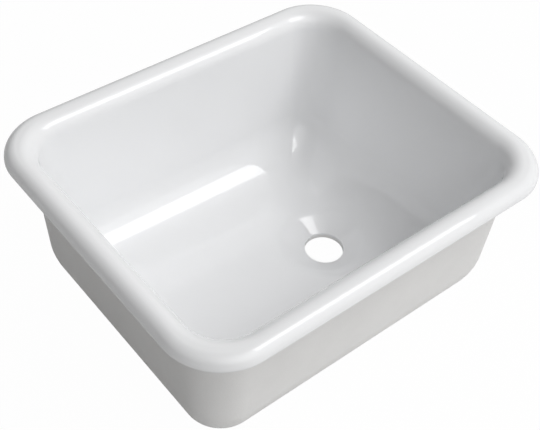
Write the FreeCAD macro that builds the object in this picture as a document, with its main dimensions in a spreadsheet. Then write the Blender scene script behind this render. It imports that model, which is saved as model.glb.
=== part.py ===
"""Self-rimming kitchen sink with one deep bowl and a rolled rim, in millimetres.

The frame: Z up, X along the length with the drain towards +X, and the origin
at the middle of the flat underside. The pieces are a formed acrylic skin, the
glass and resin backing behind it, a floor board bedded between the two, and
four rails bonded into the channel under the rolled rim.

Every driving size is a cell of the sheet "Sizes". The sections of the bowl
are sketches tied to those cells, so a change of one size moves all that
follows from it.
"""
import FreeCAD
import Part
import Sketcher
import math
import os

SIZES = {
    # outline of the rim, and the height from the underside to the crest
    "overall_length": 508.0,
    "overall_width": 428.0,
    "overall_height": 240.0,
    "rim_corner_radius": 70.0,
    # section of the rolled rim, from its outer edge inwards
    "lip_drop": 0.5,
    "outer_roll_radius": 14.0,
    "crest_land": 0.5,
    "inner_roll_radius": 20.0,
    "crest_corner_radius": 64.5,
    # bowl
    "wall_draft": 3.4,
    "inner_floor_reach": 94.0,
    "inner_floor_rise": 60.0,
    "outer_floor_reach": 86.7,
    "outer_floor_rise": 86.5,
    "floor_corner_radius": 14.0,
    "floor_fall": 1.2,
    # layers
    "skin_thickness": 3.2,
    "backing_thickness": 5.4,
    "base_thickness": 5.4,
    # floor board
    "board_thickness": 15.0,
    "board_margin": 3.0,
    "board_corner_radius": 8.0,
    # drain, and the dish that leads down to it from the floor
    "drain_diameter": 52.0,
    "drain_end_gap": 126.5,
    "drain_edge_round": 1.0,
    "drain_seat_width": 1.5,
    "dish_depth": 16.0,
    "dish_height": 30.0,
    "dish_slope": 31.5,
    "dish_lean": 8.0,
    # rails in the channel under the rim, and the glue line round each bonded piece
    "rail_end_gap": 6.0,
    "glue_line": 0.2,
}

# sections that each curved loft goes through, less one
ROLL_STEPS = 5
FLOOR_STEPS = 6

# how near an edge lies to a height or a circle to be picked by it
NEAR = 1e-3

DOC = FreeCAD.newDocument("sink")


# ---------------------------------------------------------------- spreadsheet

def cell(name):
    """The expression that reads one size from the sheet."""
    return "Sizes." + name


def make_sheet():
    """Writes every driving size to a named cell of its own."""
    sheet = DOC.addObject("Spreadsheet::Sheet", "Sizes")
    for row, (name, value) in enumerate(SIZES.items(), start=1):
        sheet.set("A{}".format(row), name)
        sheet.set("B{}".format(row), str(value))
        sheet.setAlias("B{}".format(row), name)
    DOC.recompute()


# ------------------------------------------------------ the profile of a layer
# A layer is the inside surface of the bowl moved outwards by an offset. These
# return expressions: inset is the distance in from the outer edge of the rim,
# depth is the distance down from its crest.

HALF_LENGTH = cell("overall_length") + " / 2"
HALF_WIDTH = cell("overall_width") + " / 2"
HEIGHT = cell("overall_height")
DRAFT = cell("wall_draft")
ROLL = cell("inner_roll_radius")
SKIN = cell("skin_thickness")
GLUE = cell("glue_line")
CREST_INSET = "({} + {})".format(cell("outer_roll_radius"), cell("crest_land"))
LIP_DEPTH = "({} + {})".format(cell("outer_roll_radius"), cell("lip_drop"))
WALL = "({} + {})".format(SKIN, cell("backing_thickness"))
SEAT_DEPTH = "({} - {} - {})".format(HEIGHT, cell("base_thickness"), SKIN)
INSIDE_FLOOR = "({} - {})".format(SEAT_DEPTH, cell("dish_depth"))
DRAIN_RADIUS = "({} / 2)".format(cell("drain_diameter"))
DRAIN_X = "({} - {} - {})".format(HALF_LENGTH, cell("drain_end_gap"), DRAIN_RADIUS)


def wall_inset(offset, depth):
    """Inset of the drafted wall at a depth."""
    return "({crest} + ({roll} - {offset}) / cos({draft}) + ({depth} - {roll}) * tan({draft}))".format(
        crest=CREST_INSET, roll=ROLL, offset=offset, draft=DRAFT, depth=depth)


def roll_point(offset, angle):
    """Inset and depth on the inner roll, angle degrees above the horizontal."""
    inset = "({} + ({} - {}) * cos({}))".format(CREST_INSET, ROLL, offset, angle)
    depth = "({} - ({} - {}) * sin({}))".format(ROLL, ROLL, offset, angle)
    return inset, depth


def floor_point(offset, floor_depth, reach, rise, turn):
    """Inset and depth on the round into the floor, from 0 degrees at the wall to 90 on the floor."""
    depth = "({0} - {1} + {1} * sin({2}))".format(floor_depth, rise, turn)
    inset = "({} + {} * (1 - cos({})))".format(wall_inset(offset, depth), reach, turn)
    return inset, depth


def corner_radius(inset):
    """Corner radius in plan at an inset, on the inner roll and on the wall."""
    return "({} + {} - {})".format(cell("crest_corner_radius"), CREST_INSET, inset)


class Section:
    """One closed outline of a layer, level or tilted with the floor.

    Args:
        inset: Expression for the distance in from the rim's outer edge.
        depth: Expression for the distance down from the crest, at the drain.
        radius: Expression for the corner radius in plan.
        fall: Expression for the tilt towards the drain, or None when level.
    """

    def __init__(self, inset, depth, radius, fall=None):
        self.inset = inset
        self.depth = depth
        self.radius = radius
        self.fall = fall


class Layer:
    """One surface of the bowl, given as the sections that its lofts go through.

    Args:
        offset: Expression for the distance out from the inside surface.
        floor_depth: Expression for the depth of the floor at the drain.
        reach: Expression for how far the round into the floor reaches in from the wall.
        rise: Expression for how far the round rises from the floor.
        falls: Whether the floor falls towards the drain.
    """

    def __init__(self, offset, floor_depth, reach, rise, falls):
        self.offset = offset
        self.floor_depth = floor_depth
        self.reach = reach
        self.rise = rise
        self.falls = falls

    def wall_section(self, depth):
        """The wall at a depth."""
        inset = wall_inset(self.offset, depth)
        return Section(inset, depth, corner_radius(inset))

    def roll_sections(self):
        """The inner roll, from the crest to the head of the wall."""
        sections = []
        for step in range(ROLL_STEPS + 1):
            angle = "(90 - (90 - {}) * {} / {})".format(DRAFT, step, ROLL_STEPS)
            inset, depth = roll_point(self.offset, angle)
            sections.append(Section(inset, depth, corner_radius(inset)))
        return sections

    def floor_sections(self):
        """The round into the floor, from the foot of the wall to the flat."""
        foot = floor_point(self.offset, self.floor_depth, self.reach, self.rise, "0")[0]
        sections = []
        for step in range(FLOOR_STEPS + 1):
            share = "{} / {}".format(step, FLOOR_STEPS)
            turn = "(90 * {})".format(share)
            inset, depth = floor_point(self.offset, self.floor_depth, self.reach, self.rise, turn)
            radius = "({0} + ({1} - {0}) * (1 - cos({2})))".format(
                corner_radius(foot), cell("floor_corner_radius"), turn)
            tilted = self.falls and step > 0
            fall = "{} * {}".format(cell("floor_fall"), share) if tilted else None
            sections.append(Section(inset, depth, radius, fall))
        return sections


def skin_layer(offset):
    """A face of the skin. Both faces have the edge of their flat floor at the same place."""
    reach = "({} + {} / cos({}))".format(cell("inner_floor_reach"), offset, DRAFT)
    rise = "({} + {})".format(cell("inner_floor_rise"), offset)
    return Layer(offset, "({} + {})".format(INSIDE_FLOOR, offset), reach, rise, falls=True)


INSIDE = skin_layer("0")
SKIN_BACK = skin_layer(SKIN)
OUTSIDE = Layer(WALL, HEIGHT, cell("outer_floor_reach"), cell("outer_floor_rise"), falls=False)


# -------------------------------------------------------- bodies and sketches

def new_body(label):
    """A body whose label names its node and its file."""
    body = DOC.addObject("PartDesign::Body", label)
    body.Label = label
    return body


def new_sketch(body, name, plane="XY_Plane"):
    """A sketch attached to one of the body's own origin planes."""
    sketch = body.newObject("Sketcher::SketchObject", name)
    support = [feature for feature in body.Origin.OriginFeatures if feature.Role == plane]
    sketch.AttachmentSupport = [(support[0], "")]
    sketch.MapMode = "FlatFace"
    return sketch


def dimension(sketch, name, expression, *constraint):
    """Adds one dimension to a sketch, names it and ties it to an expression."""
    index = sketch.addConstraint(Sketcher.Constraint(*constraint))
    sketch.renameConstraint(index, name)
    sketch.setExpression("Constraints." + name, expression)


def arc(x, y, radius, start, end):
    """An arc in a sketch, from one angle in degrees to another."""
    circle = Part.Circle(FreeCAD.Vector(x, y, 0), FreeCAD.Vector(0, 0, 1), radius)
    return Part.ArcOfCircle(circle, math.radians(start), math.radians(end))


def line(ax, ay, bx, by):
    """A straight line in a sketch."""
    return Part.LineSegment(FreeCAD.Vector(ax, ay, 0), FreeCAD.Vector(bx, by, 0))


def rounded_rectangle(sketch, right, left, half_width, radius):
    """Draws a closed rounded rectangle about the X axis of a sketch.

    Args:
        sketch: The empty sketch.
        right: Expression for the distance from the origin to the right side.
        left: Expression for the distance from the origin to the left side.
        half_width: Expression for half the width.
        radius: Expression for the corner radius.
    """
    x, y, r = 100.0, 80.0, 20.0
    sketch.addGeometry([
        arc(x - r, y - r, r, 0, 90), arc(r - x, y - r, r, 90, 180),
        arc(r - x, r - y, r, 180, 270), arc(x - r, r - y, r, 270, 360),
        line(x - r, y, r - x, y), line(-x, y - r, -x, r - y),
        line(r - x, -y, x - r, -y), line(x, r - y, x, y - r)])
    back, left_side, front, right_side = 4, 5, 6, 7
    for corner in range(4):
        side = 4 + corner
        sketch.addConstraint(Sketcher.Constraint("Tangent", corner, 2, side, 1))
        sketch.addConstraint(Sketcher.Constraint("Tangent", side, 2, (corner + 1) % 4, 1))
    for side in (back, front):
        sketch.addConstraint(Sketcher.Constraint("Horizontal", side))
    for side in (left_side, right_side):
        sketch.addConstraint(Sketcher.Constraint("Vertical", side))
    for corner in (1, 2, 3):
        sketch.addConstraint(Sketcher.Constraint("Equal", 0, corner))
    dimension(sketch, "radius", radius, "Radius", 0, r)
    dimension(sketch, "right", right, "DistanceX", -1, 1, right_side, 1, x)
    dimension(sketch, "left", left, "DistanceX", left_side, 1, -1, 1, x)
    dimension(sketch, "back", half_width, "DistanceY", -1, 1, back, 1, y)
    dimension(sketch, "front", half_width, "DistanceY", front, 1, -1, 1, y)


def section_sketch(body, name, section):
    """A sketch of one section of a layer. A tilted one turns about the drain."""
    sketch = new_sketch(body, name)
    pivot = DRAIN_X if section.fall else "0"
    right = "{} - {} - {}".format(HALF_LENGTH, section.inset, pivot)
    left = "{} - {} + {}".format(HALF_LENGTH, section.inset, pivot)
    half_width = "{} - {}".format(HALF_WIDTH, section.inset)
    rounded_rectangle(sketch, right, left, half_width, section.radius)
    if section.fall:
        tilt_sketch(sketch, section)
    else:
        sketch.setExpression("AttachmentOffset.Base.z", "{} - {}".format(HEIGHT, section.depth))
    return sketch


def tilt_sketch(sketch, section):
    """Puts a sketch at a section's depth and tilts it about the drain."""
    tilt = FreeCAD.Rotation(FreeCAD.Vector(0, 1, 0), 1)
    sketch.AttachmentOffset = FreeCAD.Placement(FreeCAD.Vector(), tilt)
    sketch.setExpression("AttachmentOffset.Rotation.Angle", section.fall)
    sketch.setExpression("AttachmentOffset.Base.x", DRAIN_X)
    sketch.setExpression("AttachmentOffset.Base.z", "{} - {}".format(HEIGHT, section.depth))


# ------------------------------------------------------------------- features

def loft(body, kind, name, sections, ruled=False):
    """A solid through the sections, added to the body or cut from it."""
    sketches = []
    for number, section in enumerate(sections):
        sketches.append(section_sketch(body, "{}_{}".format(name, number), section))
    DOC.recompute()
    feature = body.newObject("PartDesign::" + kind, name)
    feature.Profile = sketches[0]
    feature.Sections = sketches[1:]
    feature.Ruled = ruled
    DOC.recompute()


def layer_lofts(body, kind, name, layer, head):
    """The whole inside of a layer: head sections, straight wall, round and floor.

    Args:
        body: The body to work on.
        kind: "AdditiveLoft" or "SubtractiveLoft".
        name: Start of the names of the features.
        layer: The layer.
        head: Sections above the wall. The last one is the head of the wall.
    """
    floor = layer.floor_sections()
    if len(head) > 1:
        loft(body, kind, name + "_roll", head)
    loft(body, kind, name + "_wall", [head[-1], floor[0]], ruled=True)
    loft(body, kind, name + "_floor", floor)


def pad(body, sketch, name, length):
    """Extrudes a sketch along its normal."""
    feature = body.newObject("PartDesign::Pad", name)
    feature.Profile = sketch
    feature.setExpression("Length", length)
    DOC.recompute()
    return feature


def pocket(body, sketch, name, length=None, upward=False):
    """Cuts a sketch into the body against its normal, or along it when upward."""
    feature = body.newObject("PartDesign::Pocket", name)
    feature.Profile = sketch
    feature.Reversed = upward
    if length is None:
        feature.Type = "ThroughAll"
    else:
        feature.setExpression("Length", length)
    DOC.recompute()
    return feature


def fillet(body, name, radius, is_wanted):
    """Rounds the edges of the body's tip that is_wanted picks."""
    tip = body.Tip
    edges = []
    for number, edge in enumerate(tip.Shape.Edges, start=1):
        if is_wanted(edge):
            edges.append("Edge{}".format(number))
    feature = body.newObject("PartDesign::Fillet", name)
    feature.Base = (tip, edges)
    feature.setExpression("Radius", radius)
    DOC.recompute()


def at_height(height):
    """Picks edges that lie wholly at one height."""
    def test(edge):
        box = edge.BoundBox
        return abs(box.ZMin - height) < NEAR and abs(box.ZMax - height) < NEAR
    return test


def drain_circle(body, name, radius, depth, lean="0"):
    """A level sketch of a circle on the drain's axis, or lean short of it.

    Args:
        body: The body to draw in.
        name: Name of the sketch.
        radius: Expression for the radius.
        depth: Expression for the depth below the crest.
        lean: Expression for how far the centre lies from the axis towards the middle of the sink.
    """
    sketch = new_sketch(body, name)
    sketch.addGeometry(Part.Circle(FreeCAD.Vector(90, 0, 0), FreeCAD.Vector(0, 0, 1), 20))
    sketch.addConstraint(Sketcher.Constraint("PointOnObject", 0, 3, -1))
    dimension(sketch, "radius", radius, "Radius", 0, 20)
    dimension(sketch, "centre", "{} - {}".format(DRAIN_X, lean), "DistanceX", -1, 1, 0, 3, 90)
    sketch.setExpression("AttachmentOffset.Base.z", "{} - {}".format(HEIGHT, depth))
    return sketch


def drain_hole(body):
    """Cuts the drain hole straight through the floor."""
    pocket(body, drain_circle(body, "drain_outline", DRAIN_RADIUS, HEIGHT), "drain", upward=True)


def dish(body, kind, name, offset):
    """The dish round the drain: a cone from the seat, which leans to clear the round behind it.

    Args:
        body: The body to work on.
        kind: "AdditiveLoft" or "SubtractiveLoft".
        name: Start of the names of the features.
        offset: Expression for the distance out from the inside surface.
    """
    slope = cell("dish_slope")
    seat = "({} + {} + {} * tan({} / 2))".format(
        DRAIN_RADIUS, cell("drain_seat_width"), offset, slope)
    rim = "({} + ({} + {}) / tan({}))".format(seat, cell("dish_height"), offset, slope)
    top = "({} - {})".format(SEAT_DEPTH, cell("dish_height"))
    sketches = [
        drain_circle(body, name + "_seat", seat, "({} + {})".format(SEAT_DEPTH, offset)),
        drain_circle(body, name + "_rim", rim, top, cell("dish_lean"))]
    feature = body.newObject("PartDesign::" + kind, name)
    feature.Profile = sketches[0]
    feature.Sections = sketches[1:]
    feature.Ruled = True
    DOC.recompute()


# ----------------------------------------------------------------- sub-parts

def make_skin():
    """The formed acrylic skin: the lip, the rolled rim and the inside of the bowl."""
    body = new_body("acrylic_skin")
    slab = new_sketch(body, "rim_outline")
    rounded_rectangle(slab, HALF_LENGTH, HALF_LENGTH, HALF_WIDTH, cell("rim_corner_radius"))
    slab.setExpression("AttachmentOffset.Base.z", "{} - {}".format(HEIGHT, LIP_DEPTH))
    pad(body, slab, "rim_slab", LIP_DEPTH)

    channel = new_sketch(body, "channel_outline")
    length = "{} - {}".format(HALF_LENGTH, SKIN)
    width = "{} - {}".format(HALF_WIDTH, SKIN)
    rounded_rectangle(channel, length, length, width, "{} - {}".format(cell("rim_corner_radius"), SKIN))
    channel.setExpression("AttachmentOffset.Base.z", "{} - {}".format(HEIGHT, LIP_DEPTH))
    pocket(body, channel, "rim_channel", "{} - {}".format(LIP_DEPTH, SKIN), upward=True)
    ceiling = SIZES["overall_height"] - SIZES["skin_thickness"]
    fillet(body, "channel_roll", "{} - {}".format(cell("outer_roll_radius"), SKIN), at_height(ceiling))
    fillet(body, "outer_roll", cell("outer_roll_radius"), at_height(SIZES["overall_height"]))

    layer_lofts(body, "AdditiveLoft", "shell", SKIN_BACK, SKIN_BACK.roll_sections())
    dish(body, "AdditiveLoft", "dish_shell", SKIN)
    layer_lofts(body, "SubtractiveLoft", "hollow", INSIDE, INSIDE.roll_sections())
    dish(body, "SubtractiveLoft", "dish_hollow", "0")
    drain_hole(body)
    fillet(body, "drain_edge", cell("drain_edge_round"), on_drain_top)
    return body


def on_drain_top(edge):
    """Picks the upper edge of the drain hole in the skin."""
    seat = SIZES["base_thickness"] + SIZES["skin_thickness"]
    across = edge.BoundBox.XLength
    return at_height(seat)(edge) and abs(across - SIZES["drain_diameter"]) < NEAR


def board_outline(body, name, gap):
    """The board's outline under the plain part of the floor, on the back of the skin.

    Args:
        body: The body to draw in.
        name: Name of the sketch.
        gap: Expression for the distance in from the edge of the resin round the board.
    """
    flat = SKIN_BACK.floor_sections()[-1]
    margin = "({} + {})".format(cell("board_margin"), gap)
    dish_rim = "({} + {} + {} / tan({}))".format(
        DRAIN_RADIUS, cell("drain_seat_width"), cell("dish_height"), cell("dish_slope"))
    sketch = new_sketch(body, name)
    right = "-({} + {} + {})".format(dish_rim, cell("dish_lean"), margin)
    left = "{} - {} - {} + {}".format(HALF_LENGTH, flat.inset, margin, DRAIN_X)
    half_width = "{} - {} - {}".format(HALF_WIDTH, flat.inset, margin)
    rounded_rectangle(sketch, right, left, half_width, "{} - {}".format(cell("board_corner_radius"), gap))
    tilt_sketch(sketch, flat)
    return sketch


def make_backing():
    """The glass and resin backing, from under the inner roll down to the flat base."""
    body = new_body("glass_resin_backing")
    layer_lofts(body, "AdditiveLoft", "outside", OUTSIDE, [OUTSIDE.wall_section(SKIN)])
    layer_lofts(body, "SubtractiveLoft", "bed", SKIN_BACK, SKIN_BACK.roll_sections())
    dish(body, "SubtractiveLoft", "dish_bed", SKIN)
    outline = board_outline(body, "board_recess_outline", "0")
    pocket(body, outline, "board_recess", cell("board_thickness"))
    drain_hole(body)
    return body


def make_board():
    """The floor board, bedded in the backing against the skin."""
    body = new_body("floor_board")
    pad(body, board_outline(body, "outline", GLUE), "board", cell("board_thickness")).Reversed = True
    DOC.recompute()
    return body


def first_rail_section(edge):
    """The rail's section as first drawn. The solver keeps the arc's end that it starts near.

    Args:
        edge: The rim's outer edge, in millimetres from the origin.
    """
    draft = math.radians(SIZES["wall_draft"])
    lip_depth = SIZES["outer_roll_radius"] + SIZES["lip_drop"]
    clear = SIZES["skin_thickness"] + SIZES["glue_line"]
    crest = edge - SIZES["outer_roll_radius"] - SIZES["crest_land"]
    outer, roll = SIZES["outer_roll_radius"], SIZES["inner_roll_radius"]
    reach = roll - clear - SIZES["backing_thickness"]
    turn = math.pi - draft - math.acos(reach / (roll - clear))
    head_x = crest + (roll - clear) * math.cos(turn)
    head_y = (roll - clear) * math.sin(turn) - roll
    foot_x = crest - reach / math.cos(draft) + (roll - lip_depth) * math.tan(draft)
    return [
        line(edge - clear, -lip_depth, edge - clear, -outer),
        arc(edge - outer, -outer, outer - clear, 0, 90),
        line(edge - outer, -clear, crest, -clear),
        arc(crest, -roll, roll - clear, 90, math.degrees(turn)),
        line(head_x, head_y, foot_x, -lip_depth),
        line(foot_x, -lip_depth, edge - clear, -lip_depth)]


def rail_section(body, plane, across):
    """Draws the section of a rail: it fills the channel less the glue line.

    Args:
        body: The body to draw in.
        plane: Role of the origin plane that the section lies on.
        across: Name of the rim's size across the rail.
    """
    half_size = cell(across) + " / 2"
    sketch = new_sketch(body, "section", plane)
    sketch.setExpression("AttachmentOffset.Base.y", HEIGHT)
    sketch.addGeometry(first_rail_section(SIZES[across] / 2))
    outer, outer_arc, top, inner_arc, wall, bottom = range(6)
    sketch.addConstraint([
        Sketcher.Constraint("Tangent", outer, 2, outer_arc, 1),
        Sketcher.Constraint("Tangent", outer_arc, 2, top, 1),
        Sketcher.Constraint("Tangent", top, 2, inner_arc, 1),
        Sketcher.Constraint("Coincident", inner_arc, 2, wall, 1),
        Sketcher.Constraint("Coincident", wall, 2, bottom, 1),
        Sketcher.Constraint("Coincident", bottom, 2, outer, 1),
        Sketcher.Constraint("Vertical", outer),
        Sketcher.Constraint("Horizontal", top),
        Sketcher.Constraint("Horizontal", bottom)])
    clear = "({} + {})".format(SKIN, GLUE)
    dimension(sketch, "outer_arc_radius", "{} - {}".format(cell("outer_roll_radius"), clear),
              "Radius", outer_arc, 10)
    dimension(sketch, "inner_arc_radius", "{} - {}".format(ROLL, clear), "Radius", inner_arc, 14)
    dimension(sketch, "outer_x", "{} - {}".format(half_size, clear), "DistanceX", -1, 1, outer, 1, 110)
    dimension(sketch, "inner_arc_x", "{} - {}".format(half_size, CREST_INSET),
              "DistanceX", -1, 1, inner_arc, 3, 98)
    dimension(sketch, "outer_arc_depth", cell("outer_roll_radius"), "DistanceY", outer_arc, 3, -1, 1, 10)
    dimension(sketch, "bottom_depth", LIP_DEPTH, "DistanceY", bottom, 1, -1, 1, 15)
    dimension(sketch, "draft", "90 - {}".format(DRAFT), "Angle", bottom, 1, wall, 2, math.radians(86))
    foot = wall_inset("({} + {})".format(WALL, GLUE), LIP_DEPTH)
    dimension(sketch, "foot_x", "{} - {}".format(half_size, foot), "DistanceX", -1, 1, bottom, 1, 88)
    return sketch


def make_rail(label, plane, across, along, turn):
    """One rail, centred on a side of the rim.

    Args:
        label: Name of the node.
        plane: Role of the origin plane that the section lies on.
        across: Name of the rim's size across the rail.
        along: Name of the rim's size along the rail.
        turn: Degrees about Z that take it to its own side.
    """
    body = new_body(label)
    section = rail_section(body, plane, across)
    corner = "max({}; {} + {})".format(cell("rim_corner_radius"), cell("crest_corner_radius"), CREST_INSET)
    length = "{} - 2 * ({} + {})".format(cell(along), corner, cell("rail_end_gap"))
    pad(body, section, "rail", length).Midplane = True
    body.Placement = FreeCAD.Placement(FreeCAD.Vector(), FreeCAD.Rotation(FreeCAD.Vector(0, 0, 1), turn))
    DOC.recompute()
    return body


def export(bodies):
    """Checks every object and writes one file for each body."""
    for item in DOC.Objects:
        if "Invalid" in item.State or "Error" in item.State:
            raise RuntimeError("{} is {}".format(item.Label, item.State))
    os.makedirs("parts", exist_ok=True)
    for body in bodies:
        if body.Shape.isNull() or not body.Shape.isValid() or len(body.Shape.Solids) != 1:
            raise RuntimeError(body.Label + " is not one valid solid")
        body.Shape.exportStep("parts/{}.step".format(body.Label))
        box = body.Shape.BoundBox
        print("{:22s} {:9.1f} cm3  {:.1f} x {:.1f} x {:.1f} mm".format(
            body.Label, body.Shape.Volume / 1000, box.XLength, box.YLength, box.ZLength))


make_sheet()
export([
    make_skin(),
    make_backing(),
    make_board(),
    make_rail("rim_rail_back", "YZ_Plane", "overall_width", "overall_length", 0),
    make_rail("rim_rail_front", "YZ_Plane", "overall_width", "overall_length", 180),
    make_rail("rim_rail_right", "XZ_Plane", "overall_length", "overall_width", 0),
    make_rail("rim_rail_left", "XZ_Plane", "overall_length", "overall_width", 180),
])
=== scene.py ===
"""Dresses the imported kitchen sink: its glossy skin, the backing behind it, the board and the rails.

Sizes are in millimetres until a mesh is built, and then in metres, in the frame of the
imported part: Z up, X towards the drain end, the origin on the flat underside.
"""

import logging
import math
from dataclasses import dataclass
from enum import Enum

import bmesh
import bpy
from mathutils import Matrix, Vector


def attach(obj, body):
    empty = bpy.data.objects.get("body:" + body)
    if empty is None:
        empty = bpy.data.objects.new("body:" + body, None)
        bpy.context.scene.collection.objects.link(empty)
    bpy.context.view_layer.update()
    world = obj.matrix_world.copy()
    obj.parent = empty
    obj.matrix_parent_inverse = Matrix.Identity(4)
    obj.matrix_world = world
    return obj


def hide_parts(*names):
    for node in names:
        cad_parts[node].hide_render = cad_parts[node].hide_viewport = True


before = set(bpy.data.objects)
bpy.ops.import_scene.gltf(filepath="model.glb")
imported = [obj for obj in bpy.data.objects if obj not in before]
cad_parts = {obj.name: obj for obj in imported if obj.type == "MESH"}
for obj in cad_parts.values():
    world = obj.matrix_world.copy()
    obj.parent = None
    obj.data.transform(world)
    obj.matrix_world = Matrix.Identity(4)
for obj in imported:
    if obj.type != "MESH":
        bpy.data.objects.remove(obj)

LOG = logging.getLogger("sink")
MILLI = 0.001
QUARTER_TURN = math.pi / 2
CREST_ANGLE = 90.0
WHITE = (1.0, 1.0, 1.0, 1.0)

Pair = tuple[float, float]
Place = tuple[float, float]
Point = tuple[float, float, float]
Colour = tuple[float, float, float]
Loop = list[Point]
Quad = tuple[int, int, int, int]


# ------------------------------------------------------------------ sections

@dataclass(frozen=True)
class Section:
    """One rounded rectangle of the bowl, level or tilted towards the drain.

    Attributes:
        inset: Distance in from the rim's outer edge.
        depth: Distance down from the crest, at the drain.
        radius: Corner radius in plan.
        fall: Tilt about the drain, in degrees.
    """

    inset: float
    depth: float
    radius: float
    fall: float = 0.0


class Face(Enum):
    """The surfaces of the bowl, from the one that holds the water outwards."""

    INSIDE = "inside"
    SKIN_BACK = "skin_back"
    OUTSIDE = "outside"


@dataclass(frozen=True)
class SinkSizes:
    """The driving sizes of the sink, in millimetres and degrees.

    The solids have the same, apart from dish_blend: how softly the dish meets the floor,
    which the solids leave crisp.
    """

    # outline of the rim, and the height from the underside to the crest
    length: float = 508.0
    width: float = 428.0
    height: float = 240.0
    rim_corner: float = 70.0
    # section of the rolled rim, from its outer edge inwards
    lip_drop: float = 0.5
    outer_roll: float = 14.0
    crest_land: float = 0.5
    inner_roll: float = 20.0
    crest_corner: float = 64.5
    # wall, the rounds from it into the floor, and the floor's fall to the drain
    draft: float = 3.4
    inner_floor_reach: float = 94.0
    inner_floor_rise: float = 60.0
    outer_floor_reach: float = 86.7
    outer_floor_rise: float = 86.5
    floor_corner: float = 14.0
    fall: float = 1.2
    # layers
    skin: float = 3.2
    backing: float = 5.4
    base: float = 5.4
    # floor board
    board: float = 15.0
    board_margin: float = 3.0
    board_corner: float = 8.0
    # drain, and the dish that leads down to it from the floor
    drain_radius: float = 26.0
    drain_end_gap: float = 126.5
    drain_round: float = 1.0
    seat_width: float = 1.5
    dish_depth: float = 16.0
    dish_height: float = 30.0
    dish_slope: float = 31.5
    dish_lean: float = 8.0
    dish_blend: float = 4.0

    @property
    def drain_offset(self) -> float:
        """Distance of the drain's axis from the middle, towards +X."""
        return self.length / 2 - self.drain_end_gap - self.drain_radius

    @property
    def crest_inset(self) -> float:
        """Where the inner roll starts, in from the outer edge."""
        return self.outer_roll + self.crest_land

    @property
    def lip_depth(self) -> float:
        """Depth of the lip's lower edge."""
        return self.outer_roll + self.lip_drop

    def offset(self, face: Face) -> float:
        """How far a surface of the wall lies behind the inside one, in millimetres."""
        return {Face.INSIDE: 0.0, Face.SKIN_BACK: self.skin, Face.OUTSIDE: self.skin + self.backing}[face]

    def floor_depth(self, face: Face) -> float:
        """Depth of a surface's floor at the drain, as if it had no dish.

        Args:
            face: The surface.

        Returns:
            Millimetres down from the crest.
        """
        inside = self.height - self.base - self.skin - self.dish_depth
        return {Face.INSIDE: inside, Face.SKIN_BACK: inside + self.skin, Face.OUTSIDE: self.height}[face]

    def floor_reach(self, face: Face) -> Pair:
        """How far a surface's round reaches in from the wall, and up from the floor.

        Args:
            face: The surface.

        Returns:
            The reach and the rise in millimetres.
        """
        if face is Face.OUTSIDE:
            return self.outer_floor_reach, self.outer_floor_rise
        offset = self.offset(face)
        reach = self.inner_floor_reach + offset / math.cos(math.radians(self.draft))
        return reach, self.inner_floor_rise + offset

    def seat(self, face: Face) -> Pair:
        """The ring where the dish ends at the drain.

        Args:
            face: The inside or the back of the skin.

        Returns:
            Its radius and its height above the underside.
        """
        offset = self.offset(face)
        corner = offset * math.tan(math.radians(self.dish_slope) / 2)
        return self.drain_radius + self.seat_width + corner, self.base + self.skin - offset

    def dish_growth(self, rise: float) -> float:
        """How much the radius of the dish's cone grows over a rise."""
        return rise / math.tan(math.radians(self.dish_slope))

    def plan_corner(self, inset: float) -> float:
        """Corner radius of the inner roll and the walls at an inset."""
        return self.crest_corner + self.crest_inset - inset

    def wall_inset(self, face: Face, depth: float) -> float:
        """Inset of a surface's drafted wall.

        Args:
            face: The surface.
            depth: Distance down from the crest.

        Returns:
            Millimetres in from the rim's outer edge.
        """
        draft = math.radians(self.draft)
        across = (self.inner_roll - self.offset(face)) / math.cos(draft)
        return self.crest_inset + across + (depth - self.inner_roll) * math.tan(draft)

    def wall(self, face: Face, depth: float) -> Section:
        """Section of a surface's wall at a depth."""
        inset = self.wall_inset(face, depth)
        return Section(inset, depth, self.plan_corner(inset))

    def roll(self, face: Face, angle: float) -> Section:
        """Section of a surface's inner roll.

        Args:
            face: The surface.
            angle: Degrees above the horizontal: 90 is the crest.

        Returns:
            The section at that angle.
        """
        radius = self.inner_roll - self.offset(face)
        turn = math.radians(angle)
        inset = self.crest_inset + radius * math.cos(turn)
        return Section(inset, self.inner_roll - radius * math.sin(turn), self.plan_corner(inset))

    def floor_round(self, face: Face, share: float) -> Section:
        """Section of a surface's round from the wall into the floor.

        Args:
            face: The surface.
            share: From 0, the foot of the wall, to 1, the edge of the flat.

        Returns:
            The section at that share of the turn.
        """
        reach, rise = self.floor_reach(face)
        turn = QUARTER_TURN * share
        foot = self.floor_depth(face) - rise
        depth = foot + rise * math.sin(turn)
        done = 1 - math.cos(turn)
        first = self.plan_corner(self.wall_inset(face, foot))
        corner = first + (self.floor_corner - first) * done
        fall = 0.0 if face is Face.OUTSIDE else self.fall * share
        return Section(self.wall_inset(face, depth) + reach * done, depth, corner, fall)


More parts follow.
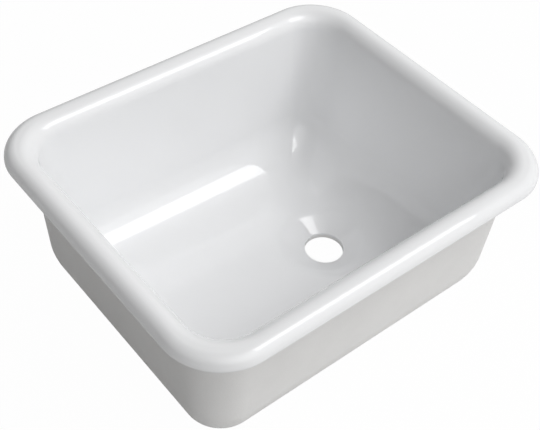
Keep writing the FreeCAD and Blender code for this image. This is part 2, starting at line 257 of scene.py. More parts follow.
@dataclass(frozen=True)
class FloorSurface:
    """The floor of one face of the skin as a height over the plan, with the dish let into it.

    Attributes:
        sizes: The sink's sizes.
        face: The inside or the back of the skin.
        tolerance: How closely a place is matched to a share of the round.
    """

    sizes: SinkSizes
    face: Face
    tolerance: float = 1e-5

    def outside(self, share: float, x: float, y: float) -> float:
        """How far a place in plan lies outside a section of the round.

        Args:
            share: The section, as a share of the round's turn.
            x: Place along the sink.
            y: Place across the sink.

        Returns:
            Millimetres, negative inside the section.
        """
        sizes = self.sizes
        section = sizes.floor_round(self.face, share)
        along = (x - sizes.drain_offset) / math.cos(math.radians(section.fall)) + sizes.drain_offset
        over_x = abs(along) - (sizes.length / 2 - section.inset - section.radius)
        over_y = abs(y) - (sizes.width / 2 - section.inset - section.radius)
        return math.hypot(max(over_x, 0), max(over_y, 0)) + min(max(over_x, over_y), 0) - section.radius

    def bowl(self, x: float, y: float) -> float:
        """Height of the floor and its round without the dish.

        Args:
            x: Place along the sink.
            y: Place across the sink.

        Returns:
            Millimetres above the underside.
        """
        low, high = 0.0, 1.0
        if self.outside(1.0, x, y) <= 0:
            low = 1.0
        while high - low > self.tolerance:
            middle = (low + high) / 2
            if self.outside(middle, x, y) > 0:
                high = middle
            else:
                low = middle
        section = self.sizes.floor_round(self.face, low)
        tilt = math.tan(math.radians(section.fall))
        return self.sizes.height - section.depth - (x - self.sizes.drain_offset) * tilt

    def dish(self, x: float, y: float) -> float:
        """Height of the dish's cone, whose axis leans away from the drain end.

        Args:
            x: Place along the sink.
            y: Place across the sink.

        Returns:
            Millimetres above the underside, from the seat outwards.
        """
        sizes = self.sizes
        radius, base = sizes.seat(self.face)
        rise = sizes.dish_height + sizes.offset(self.face)
        grow, lean = sizes.dish_growth(rise), sizes.dish_lean
        along = x - sizes.drain_offset
        square = lean ** 2 - grow ** 2
        linear = 2 * (along * lean - radius * grow)
        rest = along ** 2 + y ** 2 - radius ** 2
        part = (-linear - math.sqrt(linear ** 2 - 4 * square * rest)) / (2 * square)
        return base + rise * part

    def height(self, x: float, y: float) -> float:
        """Height of the finished floor, with the dish blended in softly.

        Args:
            x: Place along the sink.
            y: Place across the sink.

        Returns:
            Millimetres above the underside.
        """
        bowl, dish, blend = self.bowl(x, y), self.dish(x, y), self.sizes.dish_blend
        near = max(blend - abs(bowl - dish), 0) / blend
        return min(bowl, dish) - near ** 2 * blend / 4


# --------------------------------------------------------------------- loops

def on_corner(centre: Place, radius: float, quarters: float) -> Place:
    """The point of a corner's circle at a number of quarter turns from +X."""
    turn = QUARTER_TURN * quarters
    return centre[0] + radius * math.cos(turn), centre[1] + radius * math.sin(turn)


def part_way(start: tuple[float, ...], end: tuple[float, ...], part: float) -> tuple[float, ...]:
    """The point that lies a share of the way from one point to another."""
    return tuple(a + (b - a) * part for a, b in zip(start, end))


def band(start: int, after: int, count: int) -> list[Quad]:
    """Faces that join two loops of vertices.

    Args:
        start: Number of the first vertex of one loop.
        after: Number of the first vertex of the other.
        count: Vertices in each loop.

    Returns:
        A face for each vertex.
    """
    faces = []
    for index in range(count):
        turn = (index + 1) % count
        faces.append((start + index, start + turn, after + turn, after + index))
    return faces


@dataclass(frozen=True)
class Sampling:
    """How finely the loops are cut. Every loop has the same number of points.

    Attributes:
        corner_steps: Steps round each corner.
        long_steps: Steps along the front and the back.
        short_steps: Steps along the left and the right.
        crowding: Power that draws the floor's loops together towards the drain.
    """

    corner_steps: int = 22
    long_steps: int = 26
    short_steps: int = 22
    crowding: float = 1.7

    @property
    def count(self) -> int:
        """Points in one loop."""
        return 4 * self.corner_steps + 2 * self.long_steps + 2 * self.short_steps

    def rectangle(self, sizes: SinkSizes, section: Section) -> Loop:
        """The loop of a section.

        Args:
            sizes: The sink's sizes.
            section: The rounded rectangle.

        Returns:
            Points anticlockwise from above, starting at the back end of the right side.
        """
        core_x = sizes.length / 2 - section.inset - section.radius
        core_y = sizes.width / 2 - section.inset - section.radius
        corners = ((core_x, core_y), (-core_x, core_y), (-core_x, -core_y), (core_x, -core_y))
        flat: list[Place] = []
        for corner, centre in enumerate(corners):
            for step in range(self.corner_steps + 1):
                flat.append(on_corner(centre, section.radius, corner + step / self.corner_steps))
            start, end = flat[-1], on_corner(corners[(corner + 1) % 4], section.radius, corner + 1)
            steps = self.long_steps if corner % 2 == 0 else self.short_steps
            flat += [part_way(start, end, step / steps) for step in range(1, steps)]
        return [self.place(sizes, section, x, y) for x, y in flat]

    @staticmethod
    def place(sizes: SinkSizes, section: Section, x: float, y: float) -> Point:
        """A point of a section, tilted about the drain.

        Args:
            sizes: The sink's sizes.
            section: The section that the point is in.
            x: Place along the sink before the tilt.
            y: Place across the sink.

        Returns:
            The point in the frame of the part, in millimetres.
        """
        along, tilt = x - sizes.drain_offset, math.radians(section.fall)
        height = sizes.height - section.depth
        return (sizes.drain_offset + along * math.cos(tilt), y, height - along * math.sin(tilt))

    def ring(self, sizes: SinkSizes, radius: float, height: float) -> Loop:
        """A level loop round the drain's axis.

        Args:
            sizes: The sink's sizes.
            radius: Radius of the loop.
            height: Height above the underside.

        Returns:
            Points that pair with those of the rectangle.
        """
        points = []
        middle_of_right = self.count - self.short_steps / 2
        for index in range(self.count):
            turn = 2 * math.pi * (index - middle_of_right) / self.count
            x = sizes.drain_offset + radius * math.cos(turn)
            points.append((x, radius * math.sin(turn), height))
        return points

    def floor(self, surface: FloorSurface, share: float, steps: int) -> list[Loop]:
        """Loops over the floor, closer together towards the drain.

        Args:
            surface: The floor's height.
            share: The section of the round to start from, as for the sizes.
            steps: Steps from that section to the seat.

        Returns:
            The loops after that section, and the seat last.
        """
        sizes = surface.sizes
        first = self.rectangle(sizes, sizes.floor_round(surface.face, share))
        seat = self.ring(sizes, *sizes.seat(surface.face))
        loops = []
        for step in range(1, steps):
            part = 1 - (1 - step / steps) ** self.crowding
            places = [part_way(start[:2], end[:2], part) for start, end in zip(first, seat)]
            loops.append([(x, y, surface.height(x, y)) for x, y in places])
        return loops + [seat]

    @staticmethod
    def between(first: Loop, last: Loop, steps: int) -> list[Loop]:
        """Loops evenly spaced between two loops, both left out.

        Args:
            first: The loop to start from.
            last: The loop to end at.
            steps: Steps from the first to the last.

        Returns:
            The loops in order.
        """
        loops = []
        for step in range(1, steps):
            loops.append([part_way(start, end, step / steps) for start, end in zip(first, last)])
        return loops


def mesh_from_loops(name: str, loops: list[Loop], sharp_above: float) -> bpy.types.Object:
    """Builds a closed ring-shaped mesh, whose last loop joins the first.

    Args:
        name: Name of the object.
        loops: Loops of equal length, in millimetres.
        sharp_above: Edges that turn by more degrees than this stay crisp.

    Returns:
        The new object, linked to the scene.
    """
    count = len(loops[0])
    points = [tuple(value * MILLI for value in point) for loop in loops for point in loop]
    faces = []
    for row in range(len(loops)):
        faces += band(row * count, (row + 1) % len(loops) * count, count)
    mesh = bpy.data.meshes.new(name)
    mesh.from_pydata(points, [], faces)
    work = bmesh.new()
    work.from_mesh(mesh)
    bmesh.ops.recalc_face_normals(work, faces=work.faces)
    work.to_mesh(mesh)
    work.free()
    mesh.shade_smooth()
    mesh.set_sharp_from_angle(angle=math.radians(sharp_above))
    item = bpy.data.objects.new(name, mesh)
    bpy.context.collection.objects.link(item)
    return item


# ------------------------------------------------------------------ finishes

class Group(Enum):
    """The shader node groups that the finishes share."""

    RIPPLE = "surface_ripple"
    TONE = "surface_tone"


class Shaders:
    """Builds each shared node group once and places it in materials."""

    def __init__(self) -> None:
        """Makes the groups."""
        self.groups = {Group.RIPPLE: self.make_ripple(), Group.TONE: self.make_tone()}

    @staticmethod
    def new_group(kind: Group, inputs: dict[str, float], output: str) -> bpy.types.NodeTree:
        """Makes an empty group with its sockets.

        Args:
            kind: Which group.
            inputs: Float inputs and their defaults.
            output: Name of its one float output.

        Returns:
            The node tree, with an input and an output node.
        """
        tree = bpy.data.node_groups.new(kind.value, "ShaderNodeTree")
        for label, value in inputs.items():
            socket = tree.interface.new_socket(label, in_out="INPUT", socket_type="NodeSocketFloat")
            socket.default_value = value
        tree.interface.new_socket(output, in_out="OUTPUT", socket_type="NodeSocketFloat")
        tree.nodes.new("NodeGroupInput")
        tree.nodes.new("NodeGroupOutput")
        return tree

    def make_ripple(self) -> bpy.types.NodeTree:
        """Makes the height of a surface from a broad wave and a fine grain.

        Returns:
            The group.
        """
        tree = self.new_group(
            Group.RIPPLE, {"Wave Size": 12.0, "Grain Size": 400.0, "Grain Share": 0.3}, "Height")
        nodes, links = tree.nodes, tree.links
        source, sink = nodes["Group Input"], nodes["Group Output"]
        place, mix = nodes.new("ShaderNodeTexCoord"), nodes.new("ShaderNodeMix")
        for size, detail, end in (("Wave Size", 1.5, "A"), ("Grain Size", 4.0, "B")):
            noise = nodes.new("ShaderNodeTexNoise")
            noise.inputs["Detail"].default_value = detail
            links.new(place.outputs["Object"], noise.inputs["Vector"])
            links.new(source.outputs[size], noise.inputs["Scale"])
            links.new(noise.outputs["Fac"], mix.inputs[end])
        links.new(source.outputs["Grain Share"], mix.inputs["Factor"])
        links.new(mix.outputs["Result"], sink.inputs["Height"])
        return tree

    def make_tone(self) -> bpy.types.NodeTree:
        """Makes a mask of soft patches and fine specks, from 0 to 1.

        Returns:
            The group.
        """
        tree = self.new_group(
            Group.TONE, {"Patch Size": 9.0, "Speck Size": 700.0, "Speck Share": 0.2}, "Mask")
        nodes, links = tree.nodes, tree.links
        source, sink = nodes["Group Input"], nodes["Group Output"]
        place, mix = nodes.new("ShaderNodeTexCoord"), nodes.new("ShaderNodeMix")
        patch, speck = nodes.new("ShaderNodeTexNoise"), nodes.new("ShaderNodeTexVoronoi")
        patch.inputs["Detail"].default_value = 3.0
        patch.inputs["Roughness"].default_value = 0.6
        links.new(place.outputs["Object"], patch.inputs["Vector"])
        links.new(place.outputs["Object"], speck.inputs["Vector"])
        links.new(source.outputs["Patch Size"], patch.inputs["Scale"])
        links.new(source.outputs["Speck Size"], speck.inputs["Scale"])
        links.new(source.outputs["Speck Share"], mix.inputs["Factor"])
        links.new(patch.outputs["Fac"], mix.inputs["A"])
        links.new(speck.outputs["Distance"], mix.inputs["B"])
        links.new(mix.outputs["Result"], sink.inputs["Mask"])
        return tree

    def place(self, material: bpy.types.Material, kind: Group, values: dict[str, float]) -> bpy.types.Node:
        """Puts a shared group in a material.

        Args:
            material: The material.
            kind: Which group.
            values: Values of its inputs.

        Returns:
            The group's node.
        """
        node = material.node_tree.nodes.new("ShaderNodeGroup")
        node.node_tree = self.groups[kind]
        for label, value in values.items():
            node.inputs[label].default_value = value
        return node


@dataclass(frozen=True)
class Finish:
    """What a surface is made of and how it shows.

    Attributes:
        name: Name of the material.
        light: Colour where the tone mask is high.
        dark: Colour where the tone mask is low.
        roughness: Lowest and highest roughness.
        specular: Strength of the plain reflection.
        bump: Height of the ripple, in metres.
        ripple: Inputs of the ripple group.
        tone: Inputs of the tone group.
        ior: Index of refraction.
        mask: Values of the tone mask where the dark colour ends and the light one starts.
    """

    name: str
    light: Colour
    dark: Colour
    roughness: Pair
    specular: float
    bump: float
    ripple: dict[str, float]
    tone: dict[str, float]
    ior: float = 1.49
    mask: Pair = (0.3, 0.7)

    def build(self, shaders: Shaders) -> bpy.types.Material:
        """Makes the material.

        Args:
            shaders: The shared node groups.

        Returns:
            The material.
        """
        material = bpy.data.materials.new(self.name)
        material.use_nodes = True
        nodes, links = material.node_tree.nodes, material.node_tree.links
        shader = nodes["Principled BSDF"]
        shader.inputs["Specular IOR Level"].default_value = self.specular
        shader.inputs["IOR"].default_value = self.ior
        tone = shaders.place(material, Group.TONE, self.tone)
        ramp = nodes.new("ShaderNodeValToRGB")
        for stop, colour, position in zip(ramp.color_ramp.elements, (self.dark, self.light), self.mask):
            stop.color = (*colour, 1.0)
            stop.position = position
        rough = nodes.new("ShaderNodeMapRange")
        rough.inputs["From Min"].default_value, rough.inputs["From Max"].default_value = self.mask
        rough.inputs["To Min"].default_value, rough.inputs["To Max"].default_value = self.roughness
        ripple = shaders.place(material, Group.RIPPLE, self.ripple)
        bump = nodes.new("ShaderNodeBump")
        bump.inputs["Distance"].default_value = self.bump
        links.new(tone.outputs["Mask"], ramp.inputs["Fac"])
        links.new(ramp.outputs["Color"], shader.inputs["Base Color"])
        links.new(tone.outputs["Mask"], rough.inputs["Value"])
        links.new(rough.outputs["Result"], shader.inputs["Roughness"])
        links.new(ripple.outputs["Height"], bump.inputs["Height"])
        links.new(bump.outputs["Normal"], shader.inputs["Normal"])
        return material


ACRYLIC = Finish(
    name="glossy_acrylic",
    light=(0.914, 0.918, 0.926), dark=(0.906, 0.911, 0.919),
    roughness=(0.008, 0.02), specular=0.5, bump=0.00003,
    ripple={"Wave Size": 14.0, "Grain Size": 260.0, "Grain Share": 0.01},
    tone={"Patch Size": 6.0, "Speck Size": 900.0, "Speck Share": 0.05}, ior=1.56)
BACKING = Finish(
    name="sprayed_backing",
    light=(0.820, 0.815, 0.805), dark=(0.770, 0.765, 0.755),
    roughness=(0.42, 0.58), specular=0.35, bump=0.0004,
    ripple={"Wave Size": 40.0, "Grain Size": 520.0, "Grain Share": 0.35},
    tone={"Patch Size": 14.0, "Speck Size": 650.0, "Speck Share": 0.25})
SEALED_BOARD = Finish(
    name="sealed_board",
    light=(0.60, 0.58, 0.54), dark=(0.47, 0.45, 0.41),
    roughness=(0.5, 0.7), specular=0.3, bump=0.0003,
    ripple={"Wave Size": 90.0, "Grain Size": 900.0, "Grain Share": 0.6},
    tone={"Patch Size": 120.0, "Speck Size": 1400.0, "Speck Share": 0.5})
RAIL_WOOD = Finish(
    name="rail_wood",
    light=(0.60, 0.47, 0.33), dark=(0.47, 0.35, 0.23),
    roughness=(0.55, 0.75), specular=0.25, bump=0.0003,
    ripple={"Wave Size": 60.0, "Grain Size": 700.0, "Grain Share": 0.6},
    tone={"Patch Size": 35.0, "Speck Size": 1100.0, "Speck Share": 0.35})


def dress(item: bpy.types.Object, material: bpy.types.Material) -> None:
    """Gives an object one material and nothing else.

    Args:
        item: The object.
        material: Its material.
    """
    item.data.materials.clear()
    item.data.materials.append(material)
    for slot in item.material_slots:
        slot.material = material


# -------------------------------------------------------------- sub-assemblies

@dataclass
class AcrylicSkin:
    """The formed sheet that makes the lip, the rolled rim and the inside of the bowl.

    Attributes:
        sizes: The sink's sizes.
        sampling: How finely the loops are cut.
        roll_steps: Steps round the outer roll, and again round the inner one.
        wall_steps: Steps down the wall.
        round_steps: Steps down the part of the floor's round that is built as sections.
        round_share: Share of the round's turn in that part.
        floor_steps: Steps from there to the drain's seat.
        drain_steps: Steps round the edge of the drain hole.
        edge: How far the lip's lower edge is eased.
        edge_middle: Where the middle of that easing lies, as a share of it.
        sharp_above: Edges that turn by more degrees than this stay crisp.
    """

    sizes: SinkSizes
    sampling: Sampling
    roll_steps: int = 32
    wall_steps: int = 10
    round_steps: int = 20
    round_share: float = 0.5
    floor_steps: int = 60
    drain_steps: int = 6
    edge: float = 0.35
    edge_middle: float = 0.3
    sharp_above: float = 40.0

    def lip(self) -> list[Section]:
        """The lower edge of the lip, eased on its outer side.

        Returns:
            The sections from the back of the sheet outwards.
        """
        sizes, rim, ease = self.sizes, self.sizes.rim_corner, self.edge * self.edge_middle
        return [
            Section(sizes.skin - ease, sizes.lip_depth, rim - sizes.skin),
            Section(self.edge, sizes.lip_depth, rim - self.edge),
            Section(ease, sizes.lip_depth - ease, rim - ease)]

    def outer_roll(self, offset: float) -> list[Section]:
        """The roll from the lip up to the crest, or its back inside the channel.

        Args:
            offset: Distance in from the visible surface.

        Returns:
            The sections from the lip upwards.
        """
        sizes, sections = self.sizes, []
        radius = sizes.outer_roll - offset
        for step in range(self.roll_steps + 1):
            turn = QUARTER_TURN * step / self.roll_steps
            inset = sizes.outer_roll - radius * math.cos(turn)
            depth = sizes.outer_roll - radius * math.sin(turn)
            sections.append(Section(inset, depth, sizes.rim_corner - inset))
        return sections

    def bowl(self, face: Face) -> list[Section]:
        """The inner roll, the wall and the head of the round of one face.

        Args:
            face: The inside or the back of the skin.

        Returns:
            The sections from the crest down.
        """
        sizes, sections = self.sizes, []
        for step in range(self.roll_steps + 1):
            angle = CREST_ANGLE - (CREST_ANGLE - sizes.draft) * step / self.roll_steps
            sections.append(sizes.roll(face, angle))
        head, foot = sections[-1].depth, sizes.floor_round(face, 0).depth
        for step in range(1, self.wall_steps):
            sections.append(sizes.wall(face, head + (foot - head) * step / self.wall_steps))
        for step in range(self.round_steps + 1):
            sections.append(sizes.floor_round(face, self.round_share * step / self.round_steps))
        return sections

    def floor(self, face: Face) -> list[Loop]:
        """The rest of the round and the floor of one face, down to the drain's seat.

        Args:
            face: The inside or the back of the skin.

        Returns:
            The loops, the seat last.
        """
        return self.sampling.floor(FloorSurface(self.sizes, face), self.round_share, self.floor_steps)

    def drain_edge(self) -> list[Loop]:
        """The rounded edge of the drain hole and the hole through the sheet.

        Returns:
            The loops from the seat down to the base.
        """
        sizes, cut = self.sizes, self.sampling
        radius, soft, top = sizes.drain_radius, sizes.drain_round, sizes.base + sizes.skin
        loops = []
        for step in range(self.drain_steps + 1):
            turn = QUARTER_TURN * step / self.drain_steps
            out, down = soft * (1 - math.sin(turn)), soft * (1 - math.cos(turn))
            loops.append(cut.ring(sizes, radius + out, top - down))
        return loops + [cut.ring(sizes, radius, sizes.base)]

    def build(self) -> bpy.types.Object:
        """Builds the skin as one closed shell.

        Returns:
            The object.
        """
        sizes, cut = self.sizes, self.sampling
        front = self.lip() + self.outer_roll(0.0) + self.bowl(Face.INSIDE)
        back = self.outer_roll(sizes.skin) + self.bowl(Face.SKIN_BACK)
        loops = [cut.rectangle(sizes, section) for section in front]
        loops += self.floor(Face.INSIDE) + self.drain_edge()
        loops += reversed(self.floor(Face.SKIN_BACK))
        loops += [cut.rectangle(sizes, section) for section in reversed(back)]
        skin = mesh_from_loops("formed_acrylic_skin", loops, self.sharp_above)
        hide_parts("acrylic_skin")
        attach(skin, "root")
        return skin


@dataclass
class ResinBacking:
    """The glass and resin layer behind the skin, with the recess for the board.

    Attributes:
        sizes: The sink's sizes.
        sampling: How finely the loops are cut.
        wall_steps: Steps down the outside wall.
        round_steps: Steps round from the wall to the base.
        base_steps: Steps across the base to the drain.
        bed_steps: Steps over the bed under the skin's floor.
        bed_share: Share of the floor's round that is built as sections.
        bed_round_steps: Steps up that part of the round.
        head_steps: Steps up the back of the inner roll to where the outside wall meets it.
        edge: Size of the bevel round the drain in the base.
        recess_steps: Steps round each corner of the board's recess.
        recess_overlap: How far the cutter of the recess stands past the bed.
        sharp_above: Edges that turn by more degrees than this stay crisp.
    """

    sizes: SinkSizes
    sampling: Sampling
    wall_steps: int = 12
    round_steps: int = 34
    base_steps: int = 8
    bed_steps: int = 60
    bed_share: float = 0.5
    bed_round_steps: int = 17
    head_steps: int = 6
    edge: float = 0.8
    recess_steps: int = 8
    recess_overlap: float = 1.0
    sharp_above: float = 35.0

    def head_angle(self) -> float:
        """Angle on the skin's back at which the outside wall meets it.

        Returns:
            Degrees above the horizontal.
        """
        sizes = self.sizes
        reach = sizes.inner_roll - sizes.offset(Face.OUTSIDE)
        back = sizes.inner_roll - sizes.offset(Face.SKIN_BACK)
        return sizes.draft + math.degrees(math.acos(reach / back))

    def outside(self) -> list[Section]:
        """The outside wall and its round into the base.

        Returns:
            The sections from the head down.
        """
        sizes = self.sizes
        head, foot = sizes.roll(Face.SKIN_BACK, self.head_angle()), sizes.floor_round(Face.OUTSIDE, 0)
        sections = [head]
        for step in range(1, self.wall_steps):
            depth = head.depth + (foot.depth - head.depth) * step / self.wall_steps
            sections.append(sizes.wall(Face.OUTSIDE, depth))
        for step in range(self.round_steps + 1):
            sections.append(sizes.floor_round(Face.OUTSIDE, step / self.round_steps))
        return sections

    def bed(self) -> list[Section]:
        """The upper part of the bed that the skin lies in, up to the head.

        Returns:
            The sections from the round upwards.
        """
        sizes, sections = self.sizes, []
        for step in range(self.bed_round_steps, -1, -1):
            share = self.bed_share * step / self.bed_round_steps
            sections.append(sizes.floor_round(Face.SKIN_BACK, share))
        for step in range(self.head_steps):
            angle = sizes.draft + (self.head_angle() - sizes.draft) * step / self.head_steps
            sections.append(sizes.roll(Face.SKIN_BACK, angle))
        return sections

    def recess_outline(self) -> list[Place]:
        """Outline of the board in plan, between the round of the floor and the dish.

        Returns:
            Points anticlockwise from above.
        """
        sizes, radius = self.sizes, self.sizes.board_corner
        inset = sizes.floor_round(Face.SKIN_BACK, 1.0).inset + sizes.board_margin
        dish = sizes.seat(Face.INSIDE)[0] + sizes.dish_growth(sizes.dish_height) + sizes.dish_lean
        right = sizes.drain_offset - dish - sizes.board_margin - radius
        left = inset - sizes.length / 2 + radius
        back = sizes.width / 2 - inset - radius
        outline = []
        for corner, centre in enumerate(((right, back), (left, back), (left, -back), (right, -back))):
            for step in range(self.recess_steps + 1):
                outline.append(on_corner(centre, radius, corner + step / self.recess_steps))
        return outline

    def recess_cutter(self) -> bpy.types.Object:
        """Builds a block as thick as the board, tilted with the floor and past it on top.

        Returns:
            The block.
        """
        outline, flat = self.recess_outline(), self.sizes.floor_round(Face.SKIN_BACK, 1.0)
        count, points = len(outline), []
        for depth in (flat.depth + self.sizes.board, flat.depth - self.recess_overlap):
            level = Section(0.0, depth, 0.0, flat.fall)
            points += [Vector(Sampling.place(self.sizes, level, x, y)) * MILLI for x, y in outline]
        caps = [tuple(range(count - 1, -1, -1)), tuple(range(count, 2 * count))]
        mesh = bpy.data.meshes.new("recess")
        mesh.from_pydata(points, [], caps + band(0, count, count))
        block = bpy.data.objects.new("recess", mesh)
        bpy.context.collection.objects.link(block)
        return block

    def cut_recess(self, backing: bpy.types.Object) -> None:
        """Cuts the place of the floor board out of the backing.

        Args:
            backing: The backing, which is changed.
        """
        block = self.recess_cutter()
        carve = backing.modifiers.new("recess", "BOOLEAN")
        carve.operation, carve.object, carve.solver = "DIFFERENCE", block, "EXACT"
        graph = bpy.context.evaluated_depsgraph_get()
        whole, carved = backing.data, bpy.data.meshes.new_from_object(backing.evaluated_get(graph))
        backing.modifiers.clear()
        backing.data = carved
        carved.set_sharp_from_angle(angle=math.radians(self.sharp_above))
        spare = (whole, block.data)
        bpy.data.objects.remove(block)
        for mesh in spare:
            bpy.data.meshes.remove(mesh)

    def build(self) -> bpy.types.Object:
        """Builds the backing as one closed shell.

        Returns:
            The object.
        """
        sizes, cut, radius = self.sizes, self.sampling, self.sizes.drain_radius
        loops = [cut.rectangle(sizes, section) for section in self.outside()]
        mouth = cut.ring(sizes, radius + self.edge, 0.0)
        loops += cut.between(loops[-1], mouth, self.base_steps)
        loops += [mouth, cut.ring(sizes, radius, self.edge), cut.ring(sizes, radius, sizes.base)]
        loops += reversed(cut.floor(FloorSurface(sizes, Face.SKIN_BACK), self.bed_share, self.bed_steps))
        loops += [cut.rectangle(sizes, section) for section in self.bed()]
        backing = mesh_from_loops("laminate_backing", loops, self.sharp_above)
        self.cut_recess(backing)
        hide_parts("glass_resin_backing")
        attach(backing, "root")
        return backing


@dataclass
class HiddenTimber:
    """The board under the floor and the four rails under the rim, kept as the solids.

    Attributes:
        board: Name of the board.
        rails: Names of the rails.
    """

    board: str = "floor_board"
    rails: tuple[str, ...] = ("rim_rail_front", "rim_rail_back", "rim_rail_left", "rim_rail_right")

    def dress(self, shaders: Shaders) -> None:
        """Gives each solid its finish.

        Args:
            shaders: The shared node groups.
        """
        dress(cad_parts[self.board], SEALED_BOARD.build(shaders))
        LOG.info("dressed %s", self.board)
        wood = RAIL_WOOD.build(shaders)
        for rail in self.rails:
            dress(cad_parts[rail], wood)
            LOG.info("dressed %s", rail)


# -------------------------------------------------------------------- studio

@dataclass(frozen=True)
class SoftBox:
    """One area light that faces the sink.

    Attributes:
        name: Name of the light.
        towards: Direction from the sink to the light.
        distance: Metres from the middle of the sink.
        size: Width and height of the light, in metres.
        radiance: Brightness of its face, where 1 is white.
        level: Direction that its width lies along.
    """

    name: str
    towards: Point
    distance: float
    size: Pair
    radiance: float
    level: Point = (1.0, 0.0, 0.0)

    def build(self, target: Vector) -> None:
        """Adds the light.

        Args:
            target: The point that it faces.
        """
        lamp = bpy.data.lights.new(self.name, "AREA")
        lamp.shape = "RECTANGLE"
        lamp.size, lamp.size_y = self.size
        lamp.energy = self.radiance * math.pi * self.size[0] * self.size[1]
        back = Vector(self.towards).normalized()
        across = (Vector(self.level) - back * Vector(self.level).dot(back)).normalized()
        turn = Matrix((across, back.cross(across), back)).transposed().to_4x4()
        item = bpy.data.objects.new(self.name, lamp)
        bpy.context.collection.objects.link(item)
        item.matrix_world = Matrix.Translation(target + back * self.distance) @ turn


@dataclass(frozen=True)
class Glow:
    """A soft bright patch of the room round the sink.

    Attributes:
        heading: Degrees from +X towards +Y.
        elevation: Degrees above the floor.
        narrowness: Power of the falloff from its middle.
        level: Brightness of its middle, where 1 is white.
    """

    heading: float
    elevation: float
    narrowness: float
    level: float

    def build(self, tree: bpy.types.NodeTree) -> bpy.types.NodeSocket:
        """Adds the patch to the world's shader.

        Args:
            tree: The world's nodes.

        Returns:
            The socket with its brightness in each direction.
        """
        heading, elevation = math.radians(self.heading), math.radians(self.elevation)
        nodes, links = tree.nodes, tree.links
        place, dot = nodes.new("ShaderNodeTexCoord"), nodes.new("ShaderNodeVectorMath")
        dot.operation = "DOT_PRODUCT"
        dot.inputs[1].default_value = (
            math.cos(heading) * math.cos(elevation), math.sin(heading) * math.cos(elevation),
            math.sin(elevation))
        links.new(place.outputs["Generated"], dot.inputs[0])
        socket = dot.outputs["Value"]
        for operation, value in (("MAXIMUM", 0.0), ("POWER", self.narrowness), ("MULTIPLY", self.level)):
            step = nodes.new("ShaderNodeMath")
            step.operation = operation
            step.inputs[1].default_value = value
            links.new(socket, step.inputs[0])
            socket = step.outputs["Value"]
        return socket


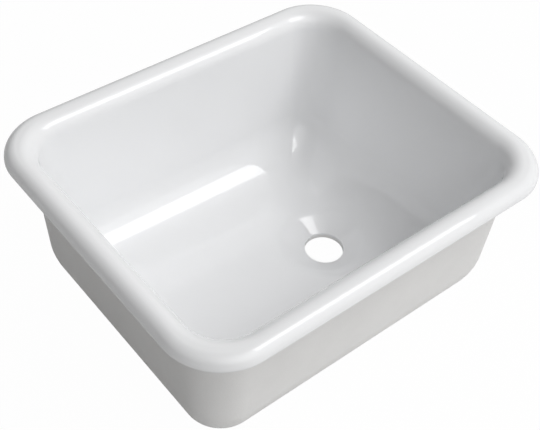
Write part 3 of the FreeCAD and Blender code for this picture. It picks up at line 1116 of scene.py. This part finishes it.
@dataclass
class Studio:
    """The pale floor, the light and the camera.

    Attributes:
        sizes: The sink's sizes.
        floor_size: Side of the floor, in metres.
        floor_colour: Colour of the floor where the sink sees it.
        floor_roughness: Roughness of the floor.
        floor_white: Share of plain white in what the camera sees of the floor.
        camera_azimuth: Degrees that the camera stands round from the front.
        camera_elevation: Degrees that it looks down by.
        camera_roll: Degrees that it is turned about its own axis.
        camera_distance: Distance back from the crest, in halves of the sink's length.
        camera_aim: Shift to the right and up, in the same halves.
        camera_clip: Nearest and furthest that it sees, in metres.
        sensor_width: Width of its sensor, in millimetres.
        image_width: Width of the photograph, in pixels.
        focal_pixels: Focal length, in those pixels.
        glows: The room's patches of light.
        lights: The lamps.
    """

    sizes: SinkSizes
    floor_size: float = 12.0
    floor_colour: Colour = (0.8, 0.8, 0.8)
    floor_roughness: float = 0.9
    floor_white: float = 0.98
    camera_azimuth: float = -41.844
    camera_elevation: float = 45.883
    camera_roll: float = 4.3135
    camera_distance: float = 4.52797
    camera_aim: Pair = (-0.021514, -0.292386)
    camera_clip: Pair = (0.05, 100.0)
    sensor_width: float = 36.0
    image_width: float = 540.0
    focal_pixels: float = 1018.64
    glows: tuple[Glow, ...] = (
        Glow(45, 12, 8, 0.60),
        Glow(45, 45, 8, 0.63),
        Glow(0, 30, 8, 0.50),
        Glow(90, 30, 8, 0.18),
        Glow(180, 45, 8, 0.36),
        Glow(270, 45, 8, 1.95),
        Glow(300, 12, 8, 0.72),
        Glow(314, 55, 24, 1.60),
    )
    lights: tuple[SoftBox, ...] = (
        SoftBox("key_strip", (0.595, -0.628, 1.257), 1.526, (0.73, 0.6), 3.2),
    )

    @staticmethod
    def show_to_camera(
            tree: bpy.types.NodeTree, others: bpy.types.NodeSocket, camera: bpy.types.NodeSocket,
            share: float) -> bpy.types.NodeSocket:
        """Mixes in a shader that only the camera sees.

        Args:
            tree: The nodes to add to.
            others: The shader that everything else sees.
            camera: The shader for the camera.
            share: Share of that shader in what the camera sees.

        Returns:
            The mixed shader's socket.
        """
        nodes, links = tree.nodes, tree.links
        path, mix = nodes.new("ShaderNodeLightPath"), nodes.new("ShaderNodeMixShader")
        part = nodes.new("ShaderNodeMath")
        part.operation = "MULTIPLY"
        part.inputs[1].default_value = share
        links.new(path.outputs["Is Camera Ray"], part.inputs[0])
        links.new(part.outputs["Value"], mix.inputs["Fac"])
        links.new(others, mix.inputs[1])
        links.new(camera, mix.inputs[2])
        return mix.outputs["Shader"]

    def build_floor(self) -> None:
        """Adds a white floor that keeps a faint shadow."""
        bpy.ops.mesh.primitive_plane_add(size=self.floor_size)
        floor = bpy.context.object
        floor.name = "floor"
        material = bpy.data.materials.new("white_floor")
        material.use_nodes = True
        tree = material.node_tree
        shader, white = tree.nodes["Principled BSDF"], tree.nodes.new("ShaderNodeEmission")
        shader.inputs["Base Color"].default_value = (*self.floor_colour, 1.0)
        shader.inputs["Roughness"].default_value = self.floor_roughness
        shader.inputs["Specular IOR Level"].default_value = 0.0
        seen = self.show_to_camera(
            tree, shader.outputs["BSDF"], white.outputs["Emission"], self.floor_white)
        tree.links.new(seen, tree.nodes["Material Output"].inputs["Surface"])
        floor.data.materials.append(material)

    def build_world(self) -> None:
        """Adds the room's soft patches of light, which the camera sees as white."""
        world = bpy.data.worlds.new("studio")
        bpy.context.scene.world = world
        world.use_nodes = True
        tree = world.node_tree
        room, white = tree.nodes["Background"], tree.nodes.new("ShaderNodeBackground")
        for background in (room, white):
            background.inputs["Color"].default_value = WHITE
        total = self.glows[0].build(tree)
        for glow in self.glows[1:]:
            add = tree.nodes.new("ShaderNodeMath")
            tree.links.new(glow.build(tree), add.inputs[0])
            tree.links.new(total, add.inputs[1])
            total = add.outputs["Value"]
        tree.links.new(total, room.inputs["Strength"])
        seen = self.show_to_camera(
            tree, room.outputs["Background"], white.outputs["Background"], 1.0)
        tree.links.new(seen, tree.nodes["World Output"].inputs["Surface"])

    def build_camera(self) -> None:
        """Adds the camera at the photograph's viewing angle."""
        azimuth, elevation = math.radians(self.camera_azimuth), math.radians(self.camera_elevation)
        back = Vector((
            math.sin(azimuth) * math.cos(elevation), -math.cos(azimuth) * math.cos(elevation),
            math.sin(elevation)))
        right = Vector((math.cos(azimuth), math.sin(azimuth), 0.0))
        up = back.cross(right)
        roll = math.radians(self.camera_roll)
        cosine, sine = math.cos(roll), math.sin(roll)
        right, up = right * cosine + up * sine, up * cosine - right * sine
        shift = right * self.camera_aim[0] + up * self.camera_aim[1]
        camera = bpy.data.cameras.new("camera")
        camera.sensor_fit, camera.sensor_width = "HORIZONTAL", self.sensor_width
        camera.lens = self.focal_pixels * camera.sensor_width / self.image_width
        camera.clip_start, camera.clip_end = self.camera_clip
        item = bpy.data.objects.new("camera", camera)
        bpy.context.collection.objects.link(item)
        place = (back * self.camera_distance + shift) * (self.sizes.length / 2 * MILLI)
        crest = Vector((0.0, 0.0, self.sizes.height * MILLI))
        turn = Matrix((right, up, back)).transposed().to_4x4()
        item.matrix_world = Matrix.Translation(place + crest) @ turn
        bpy.context.scene.camera = item

    def build(self) -> None:
        """Adds everything round the sink."""
        self.build_floor()
        self.build_world()
        self.build_camera()
        middle = Vector((0.0, 0.0, self.sizes.height / 2 * MILLI))
        for light in self.lights:
            light.build(middle)
        bpy.context.scene.view_settings.view_transform = "Standard"


def main() -> None:
    """Builds the sink's pieces in order, dresses them and sets the studio."""
    logging.basicConfig(level=logging.INFO, format="%(name)s: %(message)s")
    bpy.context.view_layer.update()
    sizes, sampling, shaders = SinkSizes(), Sampling(), Shaders()
    skin = AcrylicSkin(sizes, sampling).build()
    dress(skin, ACRYLIC.build(shaders))
    LOG.info("built %s with %d faces", skin.name, len(skin.data.polygons))
    backing = ResinBacking(sizes, sampling).build()
    dress(backing, BACKING.build(shaders))
    LOG.info("built %s with %d faces", backing.name, len(backing.data.polygons))
    HiddenTimber().dress(shaders)
    Studio(sizes).build()


if __name__ == "__main__":
    main()
